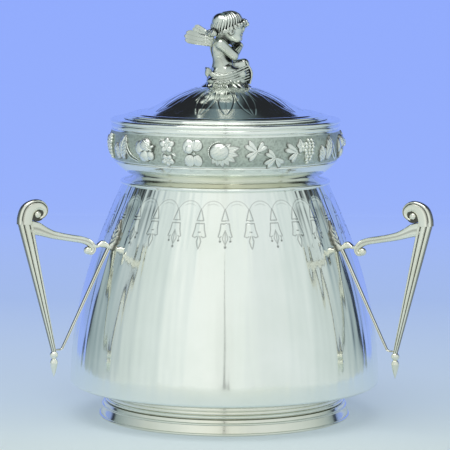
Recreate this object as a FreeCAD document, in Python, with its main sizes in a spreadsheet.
import FreeCAD, Part
import math
import os

import Sketcher
from FreeCAD import Placement, Rotation, Vector

# Driving sizes in millimetres, with shares and counts where the name says so.
# The bowl stands on the table at height zero, its axis is upright, and its front is at minus Y.
SIZES = [
    # sheet metal and small clearances
    ("sheet", 0.9),
    ("solder_gap", 0.02),
    ("lid_gap", 0.1),
    # foot
    ("foot_radius", 55.2),
    ("foot_bore_radius", 51.0),
    ("foot_wire_height", 1.2),
    ("foot_band_radius", 54.8),
    ("foot_top_radius", 53.2),
    ("foot_height", 6.7),
    ("foot_bead_drop", 2.1),
    ("foot_bead_height", 0.8),
    ("foot_bead", 0.35),
    ("collar_radius", 52.7),
    ("collar_bore_radius", 48.4),
    ("collar_bead_height", 2.0),
    ("collar_step_height", 1.4),
    ("collar_neck_height", 2.3),
    ("collar_step", 0.6),
    # belly pan and fluted wall
    ("pan_flat_radius", 52.0),
    ("pan_rise", 3.4),
    ("belly_radius", 68.0),
    ("shoulder_radius", 45.1),
    ("wall_height", 87.2),
    ("belly_curve_share", 1.9),
    ("flute_count", 30),
    ("flute_depth", 0.7),
    # shoulder, neck and frieze band
    ("shoulder_wire_radius", 46.1),
    ("shoulder_wire_height", 1.3),
    ("collar_seat_radius", 44.5),
    ("neck_radius", 39.8),
    ("neck_bore_radius", 38.9),
    ("neck_flange_height", 1.0),
    ("neck_height", 4.1),
    ("bevel_foot_radius", 42.4),
    ("bevel_radius", 48.7),
    ("bevel_height", 5.9),
    ("frieze_radius", 50.8),
    ("frieze_top_radius", 49.7),
    ("frieze_height", 14.0),
    # rim and lid seat
    ("rim_radius", 50.6),
    ("rim_height", 4.2),
    ("rim_bead", 0.5),
    ("seat_radius", 46.6),
    ("seat_thickness", 1.4),
    # lid
    ("lid_radius", 44.9),
    ("lid_wire_width", 2.9),
    ("lid_wire_height", 1.2),
    ("lid_step_width", 1.8),
    ("lid_step_height", 0.6),
    ("dome_base_radius", 37.6),
    ("dome_spring_radius", 29.5),
    ("dome_spring_height", 3.7),
    ("dome_height", 12.8),
    ("bezel_clearance", 0.7),
    ("bezel_depth", 8.5),
    # handles, each drawn in its own upright plane through the axis
    ("handle_count", 3),
    ("handle_first_angle", 90.0),
    ("post_top_reach", 97.7),
    ("post_top_height", 90.0),
    ("post_foot_reach", 84.1),
    ("post_foot_height", 34.0),
    ("post_width", 6.6),
    ("post_tip_width", 1.8),
    ("post_thickness", 3.6),
    ("post_tip_thickness", 2.0),
    ("reed_dip_share", 0.12),
    ("volute_length", 14.0),
    ("volute_height", 9.4),
    ("volute_width", 4.2),
    ("arm_join_height", 77.4),
    ("arm_post_drop", 2.0),
    ("arm_thickness", 3.0),
    ("arm_width", 2.8),
    ("arm_seat_gap", 0.15),
    ("scroll_length", 6.2),
    ("scroll_height", 4.6),
    ("scroll_out", 10.1),
    ("stay_thickness", 1.8),
    ("stay_tip_thickness", 0.6),
    ("stay_width", 2.0),
    ("leaf_height", 13.2),
    ("leaf_width", 6.4),
    ("leaf_thickness", 1.3),
    ("ferrule_radius", 1.75),
    ("ferrule_height", 2.8),
    ("spear_radius", 1.6),
    ("spear_height", 8.2),
    # cast trim on the frieze
    ("trim_relief", 1.1),
    ("trim_sink", 3.0),
    ("berry_height", 8.6),
    ("berry_width", 6.4),
    ("blossom_radius", 2.9),
    ("pansy_radius", 3.1),
    ("melon_width", 8.2),
    ("melon_height", 7.2),
    ("melon_leaf_radius", 3.2),
    ("clover_radius", 1.5),
    ("clover_reach", 2.2),
    ("grape_radius", 0.72),
    ("branch_leaf_length", 10.0),
    ("branch_leaf_width", 6.0),
    # finial and its fixing
    ("stud_radius", 1.5),
    ("stud_grip", 3.0),
    ("stud_tail", 5.5),
    ("stud_clearance", 0.15),
    ("washer_radius", 4.5),
    ("washer_thickness", 0.8),
    ("nut_radius", 3.2),
    ("nut_height", 2.2),
    ("mound_radius", 13.6),
    ("mound_top_radius", 7.2),
    ("mound_height", 8.0),
    ("mound_crest", 2.6),
    ("figure_height", 28.7),
    ("figure_turn", 20.0),
    ("figure_setback", 2.7),
]

doc = FreeCAD.newDocument("SugarBowl")
sheet = doc.addObject("Spreadsheet::Sheet", "Sizes")
for row, (alias, amount) in enumerate(SIZES, start=1):
    sheet.set(f"A{row}", str(amount))
    sheet.setAlias(f"A{row}", alias)
doc.recompute()


class Size:
    """A length of the sheet, or a sum of such lengths: its number and the formula that binds it."""

    def __init__(self, number, formula):
        self.number = float(number)
        self.formula = formula

    def join(self, sign, other, number):
        return Size(number, f"({self.formula} {sign} {as_size(other).formula})")

    def __add__(self, other):
        return self.join("+", other, self.number + as_size(other).number)

    def __sub__(self, other):
        return self.join("-", other, self.number - as_size(other).number)

    def __mul__(self, other):
        return self.join("*", other, self.number * as_size(other).number)

    def __truediv__(self, other):
        return self.join("/", other, self.number / as_size(other).number)

    def __pow__(self, other):
        return self.join("^", other, self.number ** as_size(other).number)


def as_size(thing):
    """A plain share or count as a Size, so that both can be added and bound."""
    return thing if isinstance(thing, Size) else Size(thing, repr(float(thing)))


def size(alias):
    """One cell of the sheet by its name."""
    return Size(sheet.get(alias), f"Sizes.{alias}")


def length(alias):
    """The plain number of one cell, for shapes worked out in code."""
    return float(sheet.get(alias))


# Heights that several pieces share, from the table upwards.
collar_height = size("collar_bead_height") + size("collar_step_height") + size("collar_neck_height")
floor_height = size("foot_height") + collar_height
seam_height = floor_height + size("pan_rise")
shoulder_height = seam_height + size("wall_height")
neck_top = shoulder_height + size("neck_height")
bevel_top = neck_top + size("bevel_height")
frieze_top = bevel_top + size("frieze_height")
rim_top = frieze_top + size("rim_height")
lid_base = rim_top + size("lid_gap")
lid_flange = lid_base + size("lid_wire_height")
dome_top = lid_flange + size("sheet") + size("dome_height")
stud_hole_radius = size("stud_radius") + size("stud_clearance")

# The dome is a cap of one ball above the line where it springs from its flare.
dome_spring = lid_flange + size("sheet") + size("dome_spring_height")
cap_height = dome_top - dome_spring
cap_radius = (size("dome_spring_radius") * size("dome_spring_radius")
              + cap_height * cap_height) / (cap_height * 2)


def wall_radius(height):
    """Outer radius of the wall between its flutes: a belly that draws in to the shoulder."""
    share = (height - seam_height) / size("wall_height")
    drawn_in = size("belly_radius") - size("shoulder_radius")
    return size("belly_radius") - drawn_in * share ** size("belly_curve_share")


nodes = []


def keep(thing, name):
    """Give a finished sub-part its name and put it on the list that is written out."""
    thing.Label = name
    nodes.append(thing)
    return thing


def new_body(name):
    return keep(doc.addObject("PartDesign::Body", name), name)


def origin_plane(body, role):
    return next(item for item in body.Origin.OriginFeatures if item.Role == role)


def hold_point(sketch, geometry, position, place):
    """Hold one point of a sketch at two bound distances from the sketch's origin."""
    for kind, axis, distance in (("DistanceX", -2, place[0]), ("DistanceY", -1, place[1])):
        if isinstance(distance, Size):
            rule = Sketcher.Constraint(kind, geometry, position, distance.number)
            number = sketch.addConstraint(rule)
            sketch.setExpression(f"Constraints[{number}]", distance.formula)
        else:
            sketch.addConstraint(Sketcher.Constraint("PointOnObject", geometry, position, axis))


def flat(place):
    """A sketch point as a vector; a bare zero stands for the axis."""
    return Vector(*(item.number if isinstance(item, Size) else item for item in place), 0)


def outline_sketch(body, name, role, path, lift=None):
    """A closed outline on a plane of the body. A step of the path is (x, y), reached by a
    straight line, or (via_x, via_y, x, y), reached by an arc through its first point."""
    sketch = body.newObject("Sketcher::SketchObject", name)
    sketch.AttachmentSupport = [(origin_plane(body, role), "")]
    sketch.MapMode = "FlatFace"
    if lift is not None:
        sketch.AttachmentOffset = Placement(Vector(0, 0, lift.number), Rotation())
        sketch.setExpression("AttachmentOffset.Base.z", lift.formula)
    ends = []
    for index, step in enumerate(path):
        here = flat(path[index - 1][-2:])
        there = flat(step[-2:])
        if len(step) == 2:
            edge = sketch.addGeometry(Part.LineSegment(here, there))
        else:
            edge = sketch.addGeometry(Part.Arc(here, flat(step[:2]), there))
        first = sketch.getPoint(edge, 1)
        forward = first.distanceToPoint(here) < first.distanceToPoint(there)
        ends.append((edge, 1, 2) if forward else (edge, 2, 1))
    for index, step in enumerate(path):
        edge, start, finish = ends[index]
        last_edge, _, last_finish = ends[index - 1]
        rule = Sketcher.Constraint("Coincident", edge, start, last_edge, last_finish)
        sketch.addConstraint(rule)
        hold_point(sketch, edge, finish, step[-2:])
        if len(step) == 4:
            via = sketch.addGeometry(Part.Point(flat(step[:2])), True)
            hold_point(sketch, via, 1, step[:2])
            sketch.addConstraint(Sketcher.Constraint("PointOnObject", via, 1, edge))
    return sketch


def turned(name, path):
    """A piece turned about the upright axis of its body."""
    body = new_body(name)
    sketch = outline_sketch(body, name + "_outline", "XZ_Plane", path)
    turn = body.newObject("PartDesign::Revolution", name + "_turn")
    turn.Profile = sketch
    turn.ReferenceAxis = (sketch, ["V_Axis"])
    turn.Angle = 360
    return body


def cut_plate(name, path, width):
    """A piece of even width, cut to an outline in its body's upright plane."""
    body = new_body(name)
    sketch = outline_sketch(body, name + "_outline", "XZ_Plane", path)
    pad = body.newObject("PartDesign::Pad", name + "_pad")
    pad.Profile = sketch
    pad.Midplane = True
    pad.setExpression("Length", width.formula)
    return body


def trim_body(body, name, path):
    """Cut a body away inside an outline drawn in its YZ plane."""
    sketch = outline_sketch(body, name, "YZ_Plane", path)
    cut = body.newObject("PartDesign::Pocket", name + "_cut")
    cut.Profile = sketch
    cut.Type = "ThroughAll"
    cut.Midplane = True


def made_of(name, shape):
    """A piece whose shape is worked out in code from the same sizes."""
    feature = doc.addObject("Part::Feature", name)
    feature.Shape = shape
    return keep(feature, name)


def set_at(body, angle, reach=None):
    """Turn a body about the bowl's axis, and carry it out to a reach if it has one."""
    spin = Rotation(Vector(0, 0, 1), angle)
    body.Placement = Placement(Vector(0, 0, 0), spin)
    if reach is not None:
        out = math.radians(angle)
        body.Placement.Base = Vector(reach.number, 0, 0)
        body.setExpression("Placement.Base.x", f"{reach.formula} * {math.cos(out)}")
        body.setExpression("Placement.Base.y", f"{reach.formula} * {math.sin(out)}")


# Foot

def foot_pieces():
    outer, bore = size("foot_radius"), size("foot_bore_radius")
    wire_top = size("foot_wire_height")
    turned("foot_wire", [
        (bore, 0),
        (size("foot_band_radius"), 0),
        (outer, wire_top / 2, size("foot_band_radius"), wire_top),
        (bore, wire_top),
    ])
    band, top = size("foot_band_radius"), size("foot_top_radius")
    bead_low = size("foot_height") - size("foot_bead_drop")
    bead_top = bead_low + size("foot_bead_height")
    turned("foot_ring", [
        (bore, wire_top),
        (band, wire_top),
        (top + size("foot_bead"), bead_low),
        (top + size("foot_bead") * 2, (bead_low + bead_top) / 2,
         top + size("foot_bead"), bead_top),
        (top, size("foot_height")),
        (bore, size("foot_height")),
    ])
    low, edge, step = size("foot_height"), size("collar_radius"), size("collar_step")
    bead_top = low + size("collar_bead_height")
    step_top = bead_top + size("collar_step_height")
    turned("foot_collar", [
        (size("collar_bore_radius"), low),
        (edge - step / 2, low),
        (edge, (low + bead_top) / 2, edge - step / 2, bead_top),
        (edge - step, bead_top),
        (edge - step, step_top),
        (edge - step * 2, step_top),
        (edge - step * 2, floor_height),
        (size("collar_bore_radius"), floor_height),
    ])


# Belly pan and fluted wall

def belly_pan():
    flat_edge, rim = size("pan_flat_radius"), wall_radius(seam_height)
    bend_out, bend_up = (rim - flat_edge) * 0.72, size("pan_rise") * 0.22
    inner_floor = floor_height + size("sheet")
    turned("belly_pan", [
        (0, floor_height),
        (flat_edge, floor_height),
        (flat_edge + bend_out, floor_height + bend_up, rim, seam_height),
        (rim - size("sheet"), seam_height),
        (flat_edge + bend_out - size("sheet") * 0.5, floor_height + bend_up + size("sheet"),
         flat_edge, inner_floor),
        (0, inner_floor),
    ])


WALL_HEIGHT_SHARES = [0.0, 0.05, 0.12, 0.3, 0.48, 0.64, 0.78, 0.88, 0.95, 1.0]
FLUTE_DEPTH_SHARES = [0.0, 0.0, 1.0, 1.0, 1.0, 1.0, 1.0, 0.75, 0.0, 0.0]


def fluted_ring(radius, depth, height):
    """A closed ring of shallow arcs, with an arris towards the front of the bowl."""
    count = int(length("flute_count"))
    step = 2 * math.pi / count
    edges = []
    for index in range(count):
        angles = [index * step - math.pi / 2 + part * step / 2 for part in (0, 1, 2)]
        reaches = (radius, radius - depth, radius)
        points = [Vector(r * math.cos(a), r * math.sin(a), height)
                  for a, r in zip(angles, reaches)]
        edges.append(Part.Arc(*points).toShape())
    return Part.Wire(edges)


def fluted_loft(inset, overrun):
    """The wall's outer form drawn in by an inset, and longer at both ends by an overrun."""
    rings = []
    for share, depth_share in zip(WALL_HEIGHT_SHARES, FLUTE_DEPTH_SHARES):
        height = seam_height.number + share * length("wall_height")
        radius = wall_radius(as_size(height)).number - inset
        stretch = {WALL_HEIGHT_SHARES[0]: -overrun, WALL_HEIGHT_SHARES[-1]: overrun}
        rings.append(fluted_ring(radius, length("flute_depth") * depth_share,
                                 height + stretch.get(share, 0)))
    return Part.makeLoft(rings, True, False)


def body_wall():
    outer = fluted_loft(0, 0)
    inner = fluted_loft(length("sheet"), length("sheet") / 2)
    made_of("body_wall", outer.cut(inner))


# Shoulder, neck, frieze band and rim

NECK_FLARE_SHARES = (0.27, 0.34)


def neck_pieces():
    base, wire = shoulder_height, size("shoulder_wire_height")
    seat = size("collar_seat_radius")
    turned("shoulder_wire", [
        (seat, base),
        (size("shoulder_radius"), base),
        (size("shoulder_wire_radius"), base + wire / 2, size("shoulder_radius"), base + wire),
        (seat, base + wire),
    ])
    neck, bore = size("neck_radius"), size("neck_bore_radius")
    flange_top = base + size("neck_flange_height")
    flare_rise = neck_top - flange_top
    turned("neck_collar", [
        (bore, base),
        (seat, base),
        (seat, flange_top),
        (neck + (seat - neck) * NECK_FLARE_SHARES[0], flange_top + flare_rise * NECK_FLARE_SHARES[1],
         neck, neck_top),
        (bore, neck_top),
    ])


BAND_SWELL_SHARE = 0.38
BAND_BEVEL_SHARES = (0.6, 0.48)


def bevel_middle():
    """A point half way up the rounded bevel under the band's face."""
    foot, bevel = size("bevel_foot_radius"), size("bevel_radius")
    return (foot + (bevel - foot) * BAND_BEVEL_SHARES[0],
            neck_top + size("bevel_height") * BAND_BEVEL_SHARES[1])


def frieze_band():
    foot, bevel, wide = size("bevel_foot_radius"), size("bevel_radius"), size("frieze_radius")
    top, sheet_size = size("frieze_top_radius"), size("sheet")
    bore = size("neck_bore_radius")
    swell = bevel_top + size("frieze_height") * BAND_SWELL_SHARE
    turned("frieze_band", [
        (bore, neck_top),
        (foot, neck_top),
        (*bevel_middle(), bevel, bevel_top),
        (wide, swell, top, frieze_top),
        (top - sheet_size, frieze_top),
        (wide - sheet_size, swell, bevel - sheet_size, bevel_top + sheet_size / 2),
        (foot - sheet_size, neck_top + sheet_size),
        (bore, neck_top + sheet_size),
    ])


def rim_pieces():
    seat, edge, bead = size("seat_radius"), size("rim_radius"), size("rim_bead")
    low, rise = frieze_top, size("rim_height")
    turned("rim_moulding", [
        (seat, low),
        (edge - bead, low),
        (edge - bead, low + rise * 0.2),
        (edge, low + rise * 0.38, edge - bead, low + rise * 0.56),
        (edge, low + rise * 0.78, edge - bead, rim_top),
        (seat, rim_top),
    ])
    turned("seat_ring", [
        (size("neck_bore_radius"), rim_top - size("seat_thickness")),
        (seat, rim_top - size("seat_thickness")),
        (seat, rim_top),
        (size("neck_bore_radius"), rim_top),
    ])


# Cast trim laid round the frieze

def on_frieze(shape, turn, height_share):
    """Carry a shape drawn about the origin, facing plus X, to its place on the band."""
    lift = bevel_top.number + length("frieze_height") * height_share
    placed = shape.copy()
    placed.translate(Vector(length("frieze_radius"), 0, lift))
    placed.rotate(Vector(0, 0, 0), Vector(0, 0, 1), turn - 90)
    return placed


def oval(across, tall, deep):
    """A ball stretched to three half sizes: outwards, across and upright."""
    ball = Part.makeSphere(1)
    stretch = FreeCAD.Matrix(deep, 0, 0, 0, 0, across, 0, 0, 0, 0, tall, 0, 0, 0, 0, 1)
    return ball.transformGeometry(stretch)


def low_relief(wire):
    """A flat outline in the YZ plane, thick enough to be trimmed to the band behind it."""
    plate = Part.Face(wire).extrude(Vector(length("trim_sink") + length("trim_relief"), 0, 0))
    plate.translate(Vector(-length("trim_sink"), 0, 0))
    return plate


def petal_wire(radius, petals, waist_share, first_angle=90.0):
    """A ring of round petals between points at the waist."""
    edges = []
    step = 360.0 / petals
    for index in range(petals):
        places = []
        for part, reach in ((0, waist_share), (0.5, 1), (1, waist_share)):
            angle = math.radians(first_angle + (index - 0.5 + part) * step)
            places.append(Vector(0, radius * reach * math.cos(angle),
                                 radius * reach * math.sin(angle)))
        edges.append(Part.Arc(*places).toShape())
    return Part.Wire(edges)


def star_wire(radius, points, waist_share, squash_share=1.0):
    """A leaf edge with pointed teeth."""
    corners = []
    for index in range(2 * points + 1):
        reach = radius * (1 if index % 2 == 0 else waist_share)
        angle = math.pi * index / points
        corners.append(Vector(0, reach * math.cos(angle), reach * squash_share * math.sin(angle)))
    return Part.makePolygon(corners)


def leaf_wire(long, wide):
    """A pointed leaf, upright in the YZ plane."""
    tip, foot = Vector(0, 0, long / 2), Vector(0, 0, -long / 2)
    left = Part.Arc(foot, Vector(0, -wide / 2, 0), tip).toShape()
    right = Part.Arc(tip, Vector(0, wide / 2, 0), foot).toShape()
    return Part.Wire([left, right])


def clover():
    """Three round leaves on short stalks about a common point."""
    parts = []
    for index in range(3):
        angle = math.radians(90 + 120 * index)
        reach = length("clover_reach")
        centre = Vector(-length("trim_sink"), reach * math.cos(angle), reach * math.sin(angle))
        deep = length("trim_sink") + length("trim_relief")
        parts.append(Part.makeCylinder(length("clover_radius"), deep, centre, Vector(1, 0, 0)))
    hub = Part.makeCylinder(length("clover_reach") - length("clover_radius") * 0.8,
                            length("trim_sink") + length("trim_relief") * 0.7,
                            Vector(-length("trim_sink"), 0, 0), Vector(1, 0, 0))
    return hub.fuse(parts).removeSplitter()


def berry():
    return oval(length("berry_width") / 2, length("berry_height") / 2, length("trim_relief") * 1.6)


def melon():
    return oval(length("melon_width") / 2, length("melon_height") / 2, length("trim_relief") * 1.8)


def blossom():
    return low_relief(petal_wire(length("blossom_radius"), 5, 0.62))


def pansy():
    return low_relief(petal_wire(length("pansy_radius"), 3, 0.5, 270.0))


def melon_leaf():
    return low_relief(star_wire(length("melon_leaf_radius"), 7, 0.68))


def branch_leaf():
    return low_relief(leaf_wire(length("branch_leaf_length"), length("branch_leaf_width")))


GRAPE_ROWS = (3, 4, 3, 2, 1)
GRAPE_SPACING_SHARES = (2.05, 1.85)


def grape_clusters(places):
    """Small balls seated on the band in rows that narrow towards the bottom."""
    radius = length("grape_radius")
    balls = []
    for turn, height_share in places:
        for row, count in enumerate(GRAPE_ROWS):
            up = (len(GRAPE_ROWS) / 2 - row) * radius * GRAPE_SPACING_SHARES[1]
            height = bevel_top.number + length("frieze_height") * height_share + up
            reach = band_arc_radius(height) + radius + length("solder_gap")
            for index in range(count):
                across = (index - (count - 1) / 2) * radius * GRAPE_SPACING_SHARES[0]
                angle = math.radians(turn - 90) + across / reach
                balls.append(Part.makeSphere(radius, Vector(
                    reach * math.cos(angle), reach * math.sin(angle), height)))
    return balls


# Each kind of ornament: its maker, then its places in one third of the band as
# (turn in degrees from the front, height as a share of the band). Grapes are seated apart.
GRAPE_SHARES = [(43.0, 0.52)]
TRIM_SHARES = {
    "frieze_leaves": (branch_leaf, [(-60.0, 0.50), (-52.5, 0.50)]),
    "frieze_strawberries": (berry, [(-45.0, 0.50)]),
    "frieze_blossoms": (blossom, [(-32.0, 0.70), (-32.0, 0.28)]),
    "frieze_pansies": (pansy, [(-19.0, 0.66), (-17.0, 0.24)]),
    "frieze_melons": (melon, [(-4.5, 0.50)]),
    "frieze_melon_leaves": (melon_leaf, [(4.5, 0.60), (-0.5, 0.24)]),
    "frieze_clovers": (clover, [(14.0, 0.58), (24.5, 0.30), (33.5, 0.66)]),
}


def trim_pieces():
    """Cast leaves, fruit and flowers, each third of the way round the same."""
    band_core = Part.Face(Part.Wire(band_outline_edges())).revolve(
        Vector(0, 0, 0), Vector(0, 0, 1), 360)
    placed = []
    for name, (maker, places) in TRIM_SHARES.items():
        model = maker()
        solids = []
        for third in range(3):
            for turn, height_share in places:
                piece = on_frieze(model, turn + third * 120, height_share)
                near = [other for other in placed if piece.BoundBox.intersect(other.BoundBox)]
                piece = piece.cut([band_core] + near)
                placed.append(piece)
                solids.extend(piece.Solids)
        made_of(name, Part.makeCompound(solids))
    thirds = [(turn + third * 120, height_share)
              for third in range(3) for turn, height_share in GRAPE_SHARES]
    made_of("frieze_grapes", Part.makeCompound(grape_clusters(thirds)))


def band_arc():
    """The band's outer face in section: its foot, its fullest point and its top."""
    height = bevel_top.number + length("frieze_height") * BAND_SWELL_SHARE
    arc = Part.Arc(Vector(length("bevel_radius"), 0, bevel_top.number),
                   Vector(length("frieze_radius"), 0, height),
                   Vector(length("frieze_top_radius"), 0, frieze_top.number))
    return arc.toShape()


def band_arc_radius(height):
    """Outer radius of the band at a height."""
    circle = band_arc().Curve
    return circle.Center.x + math.sqrt(circle.Radius ** 2 - (height - circle.Center.z) ** 2)


def band_outline_edges():
    """The band's bevel and face closed to the axis, for trimming what is laid on it."""
    arc = band_arc()
    low, high = sorted((vertex.Point for vertex in arc.Vertexes), key=lambda point: point.z)
    axis_low, axis_high = Vector(0, 0, neck_top.number), Vector(0, 0, high.z)
    foot = Vector(length("bevel_foot_radius"), 0, neck_top.number)
    middle_x, middle_z = bevel_middle()
    return [
        Part.LineSegment(axis_low, foot).toShape(),
        Part.Arc(foot, Vector(middle_x.number, 0, middle_z.number), low).toShape(),
        arc,
        Part.LineSegment(high, axis_high).toShape(),
        Part.LineSegment(axis_high, axis_low).toShape(),
    ]


# Handles

post_outer_top = size("post_top_reach") + size("post_width") / 2
post_inner_top = size("post_top_reach") - size("post_width") / 2
post_inner_foot = size("post_foot_reach") - size("post_tip_width") / 2


def post_inner(height):
    """Reach of the post's inner face at a height."""
    drop = size("post_top_height") - size("post_foot_height")
    share = (height - size("post_foot_height")) / drop
    return post_inner_foot + (post_inner_top - post_inner_foot) * share


def reeded_section(body, name, reach, width, thickness, height):
    """A flat section with three reeds along each side."""
    side = thickness / 2
    dip = side - thickness * size("reed_dip_share")
    low = [reach + width * share for share in (-0.5, -1 / 6, 1 / 6, 0.5)]
    mid = [reach + width * share for share in (-1 / 3, 0, 1 / 3)]
    minus_side, minus_dip = side * -1, dip * -1
    path = [(low[0], minus_dip)]
    for centre, end in zip(mid, low[1:]):
        path.append((centre, minus_side, end, minus_dip))
    path.append((low[3], dip))
    for centre, end in zip(reversed(mid), reversed(low[:3])):
        path.append((centre, side, end, dip))
    return outline_sketch(body, name, "XY_Plane", path, height)


def handle_post(tag, angle):
    body = new_body("post_" + tag)
    top = reeded_section(body, "post_top_" + tag, size("post_top_reach"), size("post_width"),
                         size("post_thickness"), size("post_top_height"))
    foot = reeded_section(body, "post_foot_" + tag, size("post_foot_reach"),
                          size("post_tip_width"), size("post_tip_thickness"),
                          size("post_foot_height"))
    loft = body.newObject("PartDesign::AdditiveLoft", "post_loft_" + tag)
    loft.Profile = foot
    loft.Sections = [top]
    loft.Ruled = True
    set_at(body, angle)


# The scroll at the head of the post, as shares of its length inwards and of its height.
VOLUTE_SHARES = [
    (0.13, 0.77, 0.51, 1.0),
    (0.88, 0.85, 1.0, 0.52),
    (0.936, 0.255, 0.743, 0.16),
    (0.543, 0.277, 0.629, 0.5),
    (0.693, 0.447, 0.721, 0.362),
    (0.779, 0.426),
    (0.721, 0.585, 0.593, 0.638),
    (0.43, 0.52, 0.407, 0.234),
]


def handle_volute(tag, angle):
    inward, up = size("volute_length"), size("volute_height")
    path = [(post_outer_top, size("post_top_height"))]
    for step in VOLUTE_SHARES:
        moved = []
        for index, share in enumerate(step):
            if index % 2 == 0:
                moved.append(post_outer_top - inward * share)
            else:
                moved.append(size("post_top_height") + up * share)
        path.append(tuple(moved))
    path.append((post_inner_top, size("post_top_height")))
    set_at(cut_plate("volute_" + tag, path, size("volute_width")), angle)


# Where the arm, the stay and the leaf pad meet beside the wall.
leaf_top = size("arm_join_height") + size("leaf_height") * 0.86
leaf_low = size("arm_join_height") - size("leaf_height") * 0.14


def leaf_face(height):
    """Reach of the leaf pad's outer face."""
    return wall_radius(height) + size("solder_gap") + size("leaf_thickness")


arm_end = size("post_top_height") - size("arm_post_drop") - size("arm_thickness") / 2


def handle_arm(tag, angle):
    """An S-shaped arm from the leaf pad to the post."""
    half = size("arm_thickness") / 2
    root, end = size("arm_join_height"), arm_end
    gap = size("solder_gap")
    seat = size("arm_seat_gap")
    inner = leaf_face(root)
    span, rise = post_inner(end) - inner, end - root
    path = [
        (leaf_face(root - half) + seat, root - half),
        (inner + span * 0.2, root + rise * 0.18 - half,
         inner + span * 0.52, root + rise * 0.48 - half),
        (inner + span * 0.82, root + rise * 0.62 - half, post_inner(end - half) - gap, end - half),
        (post_inner(end + half) - gap, end + half),
        (inner + span * 0.84, root + rise * 0.8 + half,
         inner + span * 0.52, root + rise * 0.5 + half),
        (inner + span * 0.24, root + rise * 0.32 + half,
         leaf_face(root + half) + seat, root + half),
    ]
    set_at(cut_plate("arm_" + tag, path, size("arm_width")), angle)


def arm_underside(reach):
    """Height of a point below the arm at a reach, where its scroll and stay hang."""
    half = size("arm_thickness") / 2
    root, end = size("arm_join_height"), arm_end
    inner = leaf_face(root)
    span, rise = post_inner(end) - inner, end - root
    share = (reach - inner) / span
    return root + rise * share * 0.92 - half - size("arm_thickness") * 0.06


def handle_scroll(tag, angle):
    """A small comma-shaped scroll under the arm's inner end."""
    long, tall = size("scroll_length"), size("scroll_height")
    centre = leaf_face(size("arm_join_height")) + size("scroll_out")
    top = arm_underside(centre - long / 2)
    path = [
        (centre - long * 0.5, top),
        (centre - long * 0.42, top - tall * 0.75, centre, top - tall),
        (centre + long * 0.42, top - tall * 0.8, centre + long * 0.5, top - tall * 0.45),
        (centre + long * 0.25, top - tall * 0.12, centre + long * 0.02, top - tall * 0.42),
        (centre - long * 0.1, top - tall * 0.28, centre - long * 0.2, top),
    ]
    set_at(cut_plate("arm_scroll_" + tag, path, size("arm_width")), angle)


def handle_stay(tag, angle):
    """A thin brace from the arm's root to the foot of the post."""
    root = size("arm_join_height") - size("arm_thickness") / 2 - size("solder_gap")
    start = leaf_face(root) + size("solder_gap")
    foot = size("post_foot_height")
    path = [
        (start, root),
        (post_inner_foot - size("stay_tip_thickness") - size("solder_gap"), foot),
        (post_inner_foot - size("solder_gap"), foot),
        (post_inner(foot + size("stay_thickness")) - size("solder_gap"),
         foot + size("stay_thickness")),
        (start + size("stay_thickness"), root),
    ]
    set_at(cut_plate("stay_" + tag, path, size("stay_width")), angle)


def handle_leaf(tag, angle):
    """A pointed leaf laid against the wall, which the arm is soldered to."""
    gap, thick = size("solder_gap"), size("leaf_thickness")
    middle = (leaf_low + leaf_top) / 2
    back = [wall_radius(level) + gap for level in (leaf_low, middle, leaf_top)]
    body = cut_plate("leaf_pad_" + tag, [
        (back[1], middle, back[0], leaf_low),
        (back[0] + thick, leaf_low),
        (back[1] + thick, middle, back[2] + thick * 0.5, leaf_top),
        (back[2], leaf_top),
    ], size("leaf_width"))
    wide, tall = size("leaf_width"), size("leaf_height")
    for side in (-1, 1):
        edge, past = wide * (0.5 * side), wide * side
        trim_body(body, f"leaf_trim_{tag}_{side + 1}", [
            (0, leaf_top),
            (edge * 0.72, leaf_top - tall * 0.4, edge, leaf_top - tall * 0.72),
            (edge * 0.8, leaf_low + tall * 0.1, edge * 0.3, leaf_low),
            (past, leaf_low - tall),
            (past, leaf_top + tall),
            (0, leaf_top + tall),
        ])
    set_at(body, angle)


def handle_tip(tag, angle):
    """The bead and the spear point under the post."""
    top, bead = size("post_foot_height"), size("ferrule_height")
    wide, narrow = size("ferrule_radius"), size("post_tip_width") / 2
    ferrule = turned("ferrule_" + tag, [
        (0, top - bead),
        (narrow, top - bead),
        (wide, top - bead / 2, narrow, top),
        (0, top),
    ])
    set_at(ferrule, angle, size("post_foot_reach"))
    low, tall = top - bead - size("spear_height"), size("spear_height")
    spear = turned("spear_" + tag, [
        (0, low),
        (size("spear_radius") * 0.75, low + tall * 0.42, size("spear_radius"), low + tall * 0.72),
        (narrow * 0.8, low + tall),
        (0, low + tall),
    ])
    set_at(spear, angle, size("post_foot_reach"))


def handles():
    count = int(length("handle_count"))
    for index, tag in zip(range(count), ("back", "left", "right")):
        angle = length("handle_first_angle") + 360.0 * index / count
        handle_post(tag, angle)
        handle_volute(tag, angle)
        handle_arm(tag, angle)
        handle_scroll(tag, angle)
        handle_stay(tag, angle)
        handle_leaf(tag, angle)
        handle_tip(tag, angle)


# Lid

DOME_MID_SHARE = 0.55


def cap_drop(radius):
    """How far the dome has fallen from its crown at a radius, to the fourth power of it."""
    first = radius * radius / (cap_radius * 2)
    return first + first * first / (cap_radius * 2)


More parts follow.
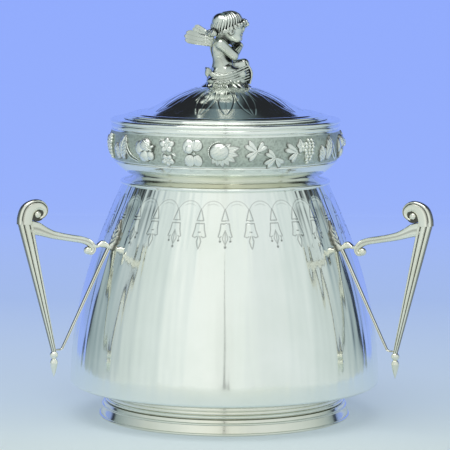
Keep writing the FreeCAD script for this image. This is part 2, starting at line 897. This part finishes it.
def lid_pieces():
    edge, width = size("lid_radius"), size("lid_wire_width")
    turned("lid_rim_wire", [
        (edge - width, lid_base),
        (edge - width * 0.12, lid_base),
        (edge, lid_base + size("lid_wire_height") * 0.3,
         edge - width * 0.12, lid_base + size("lid_wire_height") * 0.6),
        (edge - width * 0.5, lid_flange),
        (edge - width, lid_flange),
    ])
    metal, flange = size("sheet"), lid_flange
    step_edge = edge - width * 0.62
    step_in = step_edge - size("lid_step_width")
    base, spring = size("dome_base_radius"), size("dome_spring_radius")
    mid = spring * DOME_MID_SHARE
    mid_drop = cap_drop(mid)
    hole = stud_hole_radius
    foot_x, foot_z = spring + (base - spring) * 0.42, flange + metal + size("dome_spring_height") * 0.4
    turned("lid_cover", [
        (step_edge, flange),
        (step_edge, flange + metal),
        (step_edge - size("lid_step_width") / 2, flange + metal + size("lid_step_height"),
         step_in, flange + metal),
        (base, flange + metal),
        (foot_x, foot_z, spring, dome_spring),
        (mid, dome_top - mid_drop, hole, dome_top - cap_drop(hole)),
        (hole, dome_top - cap_drop(hole) - metal),
        (mid, dome_top - mid_drop - metal, spring - metal * 0.3, dome_spring - metal),
        (foot_x - metal * 0.45, foot_z - metal, base - metal * 0.4, flange),
    ])
    outer = size("neck_bore_radius") - size("bezel_clearance")
    turned("lid_bezel", [
        (outer - metal, flange - size("bezel_depth") - size("lid_wire_height")),
        (outer, flange - size("bezel_depth") - size("lid_wire_height")),
        (outer, flange),
        (outer - metal, flange),
    ])


def fixing_pieces():
    """Stud, washer and nut that hold the finial from inside the dome."""
    stud, hole = size("stud_radius"), stud_hole_radius
    inside = dome_top - size("sheet")
    tail = inside - size("stud_tail")
    turned("finial_stud", [
        (0, tail),
        (stud, tail),
        (stud, dome_top + size("stud_grip")),
        (0, dome_top + size("stud_grip")),
    ])
    washer_top = inside - cap_drop(size("washer_radius")) - size("solder_gap")
    washer_low = washer_top - size("washer_thickness")
    turned("finial_washer", [
        (hole, washer_low),
        (size("washer_radius"), washer_low),
        (size("washer_radius"), washer_top),
        (hole, inside - cap_drop(hole) - size("solder_gap")),
    ])
    nut = new_body("finial_nut")
    corners = []
    for index in range(6):
        angle = math.radians(60 * index)
        corners.append((size("nut_radius") * math.cos(angle), size("nut_radius") * math.sin(angle)))
    nut_low = washer_low - size("nut_height")
    sketch = outline_sketch(nut, "nut_outline", "XY_Plane", corners, nut_low)
    pad = nut.newObject("PartDesign::Pad", "nut_pad")
    pad.Profile = sketch
    pad.setExpression("Length", size("nut_height").formula)
    bore = nut.newObject("Sketcher::SketchObject", "nut_bore")
    bore.AttachmentSupport = [(origin_plane(nut, "XY_Plane"), "")]
    bore.MapMode = "FlatFace"
    bore.setExpression("AttachmentOffset.Base.z", nut_low.formula)
    bore.addGeometry(Part.Circle(Vector(0, 0, 0), Vector(0, 0, 1), stud.number))
    bore.addConstraint(Sketcher.Constraint("Coincident", 0, 3, -1, 1))
    number = bore.addConstraint(Sketcher.Constraint("Radius", 0, stud.number))
    bore.setExpression(f"Constraints[{number}]", stud.formula)
    cut = nut.newObject("PartDesign::Pocket", "nut_cut")
    cut.Profile = bore
    cut.Type = "ThroughAll"
    cut.Midplane = True


# Seated winged child of the finial, drawn in shares of its height as
# (forwards, to its right, up) from the top of the mound. The finial is made with the top of the
# dome at height zero, and each finished piece is then carried up to the dome.

def figure_place(forward, right, up):
    """A point of the figure, measured from the top of the dome."""
    tall = length("figure_height")
    turn = math.radians(length("figure_turn"))
    ahead = Vector(math.cos(turn), math.sin(turn), 0)
    side = Vector(math.sin(turn), -math.cos(turn), 0)
    base = Vector(-length("figure_setback"), 0, length("mound_crest"))
    return base + ahead * (forward * tall) + side * (right * tall) + Vector(0, 0, up * tall)


LIMB_SLIM_SHARE = 0.95


def limb(places, radii):
    """Round joints along a path with tapered stretches between them."""
    tall = length("figure_height")
    points = [figure_place(*place) for place in places]
    sizes = [radius * tall for radius in radii]
    parts = [Part.makeSphere(radius, point) for radius, point in zip(sizes, points)]
    for (start, big), (end, small) in zip(zip(points, sizes), zip(points[1:], sizes[1:])):
        parts.append(tapered_stretch(start, big, end, small))
    return parts[0].fuse(parts[1:]).removeSplitter()


def tapered_stretch(start, big, end, small):
    """A cone between two joints, a little slimmer than their balls."""
    gap = end - start
    low, high = big * LIMB_SLIM_SHARE, small * LIMB_SLIM_SHARE
    if low == high:
        return Part.makeCylinder(low, gap.Length, start, gap)
    return Part.makeCone(low, high, gap.Length, start, gap)


TORSO_SHARES = ([(-0.04, 0, 0.15), (-0.055, 0, 0.31), (-0.02, 0, 0.47)], [0.165, 0.15, 0.155])
HEAD_SHARES = ([(0.02, 0, 0.59), (0.115, 0, 0.795)], [0.075, 0.198])
ARM_SHARES = ([(-0.01, 0.155, 0.535), (0.13, 0.2, 0.34), (0.27, 0.07, 0.50)],
              [0.075, 0.058, 0.05])
LEG_SHARES = ([(0.04, 0.095, 0.14), (0.33, 0.115, 0.21), (0.31, 0.09, -0.03), (0.40, 0.1, -0.055)],
              [0.1, 0.08, 0.055, 0.048])
DRAPE_SHARES = ([(-0.2, -0.12, 0.05), (-0.16, 0.14, 0.03), (0.05, 0.21, 0.075),
                 (0.2, 0.1, 0.15), (0.17, -0.1, 0.14)], [0.05, 0.055, 0.05, 0.055, 0.05])
WING_ROOT_SHARES = [(-0.12, 0.05, 0.53), (-0.13, 0.06, 0.44)]
WING_TIP_SHARES = [(-0.30, 0.13, 0.74), (-0.475, 0.19, 0.76), (-0.47, 0.185, 0.66),
                   (-0.40, 0.155, 0.565), (-0.31, 0.12, 0.5)]


def mirrored_shares(shares):
    """The same limb on the figure's left."""
    places, radii = shares
    return [(forward, -right, up) for forward, right, up in places], radii


def wing(side):
    """A thin fan with a scalloped end."""
    tall = length("figure_height")
    outline = [WING_ROOT_SHARES[0]] + WING_TIP_SHARES + [WING_ROOT_SHARES[1]]
    corners = [figure_place(forward, side * right, up) for forward, right, up in outline]
    lift = (corners[2] - corners[0]).cross(corners[-1] - corners[0])
    lift.normalize()
    level = [corner - lift * (corner - corners[0]).dot(lift) for corner in corners]
    plate = Part.Face(Part.makePolygon(level + [level[0]]))
    thick = tall * 0.03
    plate.translate(lift * (-thick / 2))
    return plate.extrude(lift * thick)


def finial_pieces():
    """The mound and the figure, each piece cut back to the ones before it."""
    crest, grip = length("mound_crest"), length("stud_grip")
    mound = Part.makeCone(length("mound_radius"), length("mound_top_radius"),
                          length("mound_height"), Vector(0, 0, crest - length("mound_height")))
    stud_hole = Part.makeCylinder(length("stud_radius"), length("mound_height"),
                                  Vector(0, 0, grip - length("mound_height")))
    to_dome = Vector(0, 0, dome_top.number)
    lid = next(node for node in nodes if node.Label == "lid_cover").Shape.copy()
    lid.translate(to_dome * -1)
    under = dome_solid()
    mound = mound.cut([lid, stud_hole, under])
    pieces = {
        "finial_mound": mound,
        "cherub_torso": limb(*TORSO_SHARES),
        "cherub_head": limb(*HEAD_SHARES),
        "cherub_leg_right": limb(*LEG_SHARES),
        "cherub_leg_left": limb(*mirrored_shares(LEG_SHARES)),
        "cherub_arm_right": limb(*ARM_SHARES),
        "cherub_arm_left": limb(*mirrored_shares(ARM_SHARES)),
        "cherub_wing_right": wing(1),
        "cherub_wing_left": wing(-1),
        "cherub_drape": limb(*DRAPE_SHARES),
    }
    done = []
    stud = Part.makeCylinder(length("stud_radius"), grip)
    for name, shape in pieces.items():
        near = [other for other in done if shape.BoundBox.intersect(other.BoundBox)]
        if name != "finial_mound":
            near.extend([stud, under])
        trimmed = shape.cut(near) if near else shape
        largest = max(trimmed.Solids, key=lambda solid: solid.Volume)
        done.append(largest)
        raised = largest.copy()
        raised.translate(to_dome)
        made_of(name, raised)


def dome_solid():
    """The space under the dome, filled, for cutting what stands on it."""
    radius = cap_radius.number
    return Part.makeSphere(radius, Vector(0, 0, -radius))


def build():
    foot_pieces()
    belly_pan()
    body_wall()
    neck_pieces()
    frieze_band()
    rim_pieces()
    handles()
    lid_pieces()
    fixing_pieces()
    doc.recompute()
    trim_pieces()
    finial_pieces()
    doc.recompute()


def write_out():
    """Stop on any failed object or bad shape, then write each sub-part to its own file."""
    for thing in doc.Objects:
        if "Invalid" in thing.State or "Error" in thing.State:
            raise RuntimeError(f"{thing.Label} failed: {thing.State}")
    for node in nodes:
        if node.Shape.isNull() or not node.Shape.isValid() or not node.Shape.Solids:
            raise RuntimeError(f"{node.Label} has no valid solid")
    os.makedirs("parts", exist_ok=True)
    for node in nodes:
        node.Shape.exportStep(f"parts/{node.Label}.step")
        print(node.Label, len(node.Shape.Solids), round(node.Shape.Volume, 1))


build()
write_out()
